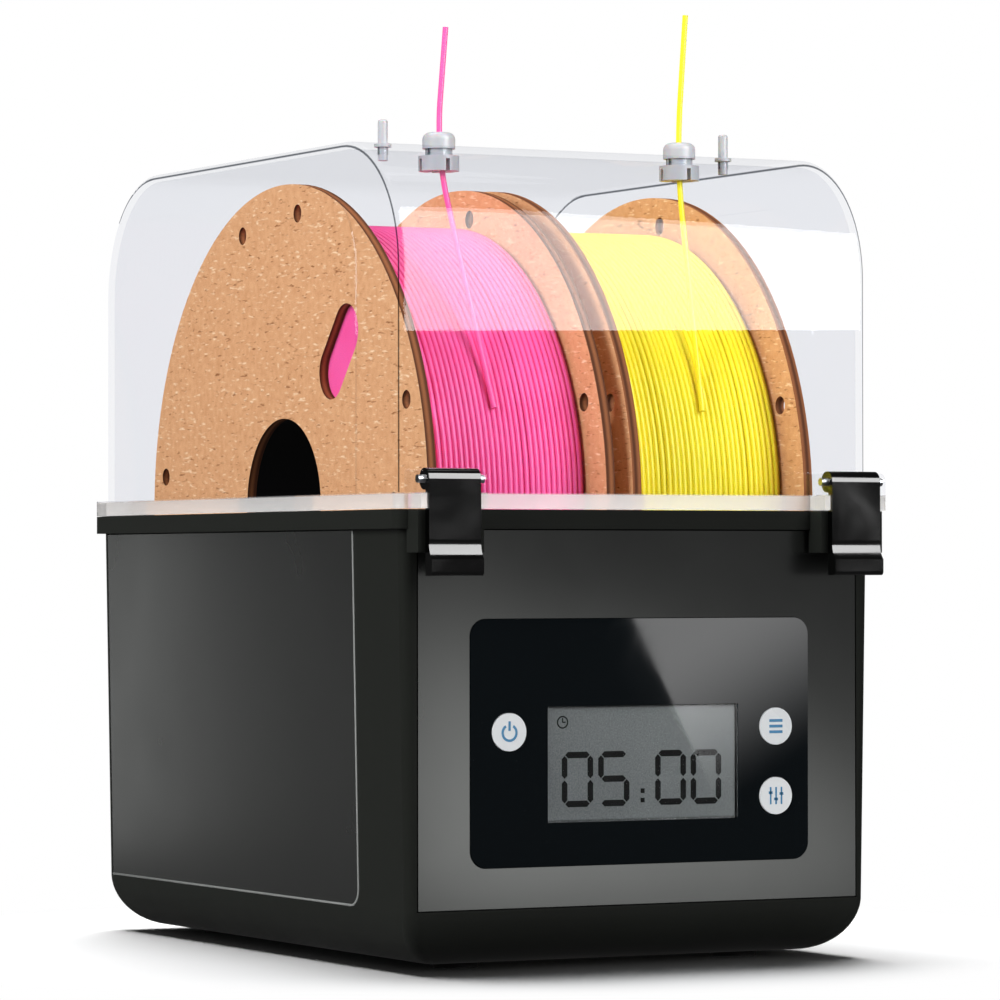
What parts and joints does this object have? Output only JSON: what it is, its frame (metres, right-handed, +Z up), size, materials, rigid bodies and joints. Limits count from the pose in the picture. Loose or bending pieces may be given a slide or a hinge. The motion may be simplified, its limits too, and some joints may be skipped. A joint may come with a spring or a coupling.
{
  "type": "filament dryer box",
  "caption": "Tabletop filament dryer: black vented tub with a display panel, clear hinged lid with snap latches, and card spools of filament turning on rollers.",
  "frame": {"origin": "on the table under the middle of the box, level with the underside of the feet", "axes": "+Z up, front with the display towards -Y, +X to the right seen from the front"},
  "size_m": [0.1648, 0.2474, 0.2914],
  "materials": {
    "black_shell": "satin moulded",
    "grey_panel": "satin gunmetal",
    "clear_lid": "clear polished",
    "black_latch": "gloss moulded",
    "seal_rubber": "matt",
    "grey_silicone": "translucent",
    "steel": "drawn",
    "roller_plastic": "matt",
    "liner_plastic": "matt",
    "heater_fins": "raw",
    "fan_plastic": "matt",
    "circuit_board": "soldered",
    "bezel_black": "high gloss",
    "display_glass": "clear",
    "display_cell": "satin",
    "button_white": "satin",
    "kraft_card": "fibrous",
    "pink_filament": "satin strand",
    "yellow_filament": "satin strand"
  },
  "bodies": {
    "base": {"base_tub": "black_shell", "front_panel": "grey_panel", "left_side_panel": "grey_panel", "right_side_panel": "grey_panel", "lid_seal": "seal_rubber", "feet": "seal_rubber", "hinge_pins": "steel", "roller_posts": "liner_plastic", "post_screws": "steel", "front_axle": "steel", "rear_axle": "steel", "air_grille": "liner_plastic", "front_shield": "liner_plastic", "rear_shield": "liner_plastic", "fan_frame": "fan_plastic", "heater_core": "heater_fins", "display_bezel": "bezel_black", "lcd_glass": "display_glass", "lcd_module": "display_cell", "control_board": "circuit_board", "board_screws": "steel", "tact_switches": "black_latch", "dc_socket": "black_latch", "humidity_sensor": "roller_plastic"},
    "lid": {"lid_shell": "clear_lid", "latch_pins": "steel", "left_grommet": "grey_silicone", "right_grommet": "grey_silicone", "left_strand": "pink_filament", "right_strand": "yellow_filament"},
    "left_latch": {"left_latch": "black_latch"},
    "left_stopper": {"left_stopper": "grey_silicone"},
    "left_spool": {"left_spool_left_flange": "kraft_card", "left_spool_right_flange": "kraft_card", "left_spool_core": "liner_plastic", "left_filament_fill": "pink_filament", "left_filament_turns": "pink_filament"},
    "left_front_roller": {"left_front_roller": "roller_plastic"},
    "left_rear_roller": {"left_rear_roller": "roller_plastic"},
    "right_latch": {"right_latch": "black_latch"},
    "right_stopper": {"right_stopper": "grey_silicone"},
    "right_spool": {"right_spool_left_flange": "kraft_card", "right_spool_right_flange": "kraft_card", "right_spool_core": "liner_plastic", "right_filament_fill": "yellow_filament", "right_filament_turns": "yellow_filament"},
    "right_front_roller": {"right_front_roller": "roller_plastic"},
    "right_rear_roller": {"right_rear_roller": "roller_plastic"},
    "power_button": {"power_button": "button_white"},
    "mode_button": {"mode_button": "button_white"},
    "set_button": {"set_button": "button_white"},
    "fan_rotor": {"fan_rotor": "fan_plastic"}
  },
  "joints": [
    {"name": "lid_hinge", "type": "hinge", "parent": "base", "child": "lid", "pos_m": [0, 0.11845, 0.1361], "axis": [-1, 0, 0], "range_deg": [0, 100]},
    {"name": "left_latch_hinge", "type": "hinge", "parent": "lid", "child": "left_latch", "pos_m": [-0.0682, -0.1187, 0.1448], "axis": [-1, 0, 0], "range_deg": [0, 110]},
    {"name": "left_stopper_pull", "type": "slide", "parent": "lid", "child": "left_stopper", "axis": [0, 0, 1], "range_m": [0, 0.012]},
    {"name": "left_spool_spin", "type": "hinge", "parent": "base", "child": "left_spool", "pos_m": [-0.0345, 0, 0.1386], "axis": [1, 0, 0], "continuous": true},
    {"name": "left_front_roller_spin", "type": "hinge", "parent": "base", "child": "left_front_roller", "pos_m": [-0.0358, -0.052, 0.04474], "axis": [1, 0, 0], "continuous": true},
    {"name": "left_rear_roller_spin", "type": "hinge", "parent": "base", "child": "left_rear_roller", "pos_m": [-0.0358, 0.052, 0.04474], "axis": [1, 0, 0], "continuous": true},
    {"name": "right_latch_hinge", "type": "hinge", "parent": "lid", "child": "right_latch", "pos_m": [0.0682, -0.1187, 0.1448], "axis": [-1, 0, 0], "range_deg": [0, 110]},
    {"name": "right_stopper_pull", "type": "slide", "parent": "lid", "child": "right_stopper", "axis": [0, 0, 1], "range_m": [0, 0.012]},
    {"name": "right_spool_spin", "type": "hinge", "parent": "base", "child": "right_spool", "pos_m": [0.0345, 0, 0.1386], "axis": [1, 0, 0], "continuous": true},
    {"name": "right_front_roller_spin", "type": "hinge", "parent": "base", "child": "right_front_roller", "pos_m": [0.0358, -0.052, 0.04474], "axis": [1, 0, 0], "continuous": true},
    {"name": "right_rear_roller_spin", "type": "hinge", "parent": "base", "child": "right_rear_roller", "pos_m": [0.0358, 0.052, 0.04474], "axis": [1, 0, 0], "continuous": true},
    {"name": "power_button_press", "type": "slide", "parent": "base", "child": "power_button", "axis": [0, 1, 0], "range_m": [0, 0.0008], "stiffness_N_per_m": 800},
    {"name": "mode_button_press", "type": "slide", "parent": "base", "child": "mode_button", "axis": [0, 1, 0], "range_m": [0, 0.0008], "stiffness_N_per_m": 800},
    {"name": "set_button_press", "type": "slide", "parent": "base", "child": "set_button", "axis": [0, 1, 0], "range_m": [0, 0.0008], "stiffness_N_per_m": 800},
    {"name": "fan_spin", "type": "hinge", "parent": "base", "child": "fan_rotor", "pos_m": [0, 0, 0.01], "axis": [0, 0, 1], "continuous": true}
  ],
  "couplings": [
    {"joint": "left_front_roller_spin", "follows": "left_spool_spin", "ratio": -14.286},
    {"joint": "left_rear_roller_spin", "follows": "left_spool_spin", "ratio": -14.286},
    {"joint": "right_front_roller_spin", "follows": "right_spool_spin", "ratio": -14.286},
    {"joint": "right_rear_roller_spin", "follows": "right_spool_spin", "ratio": -14.286}
  ]
}
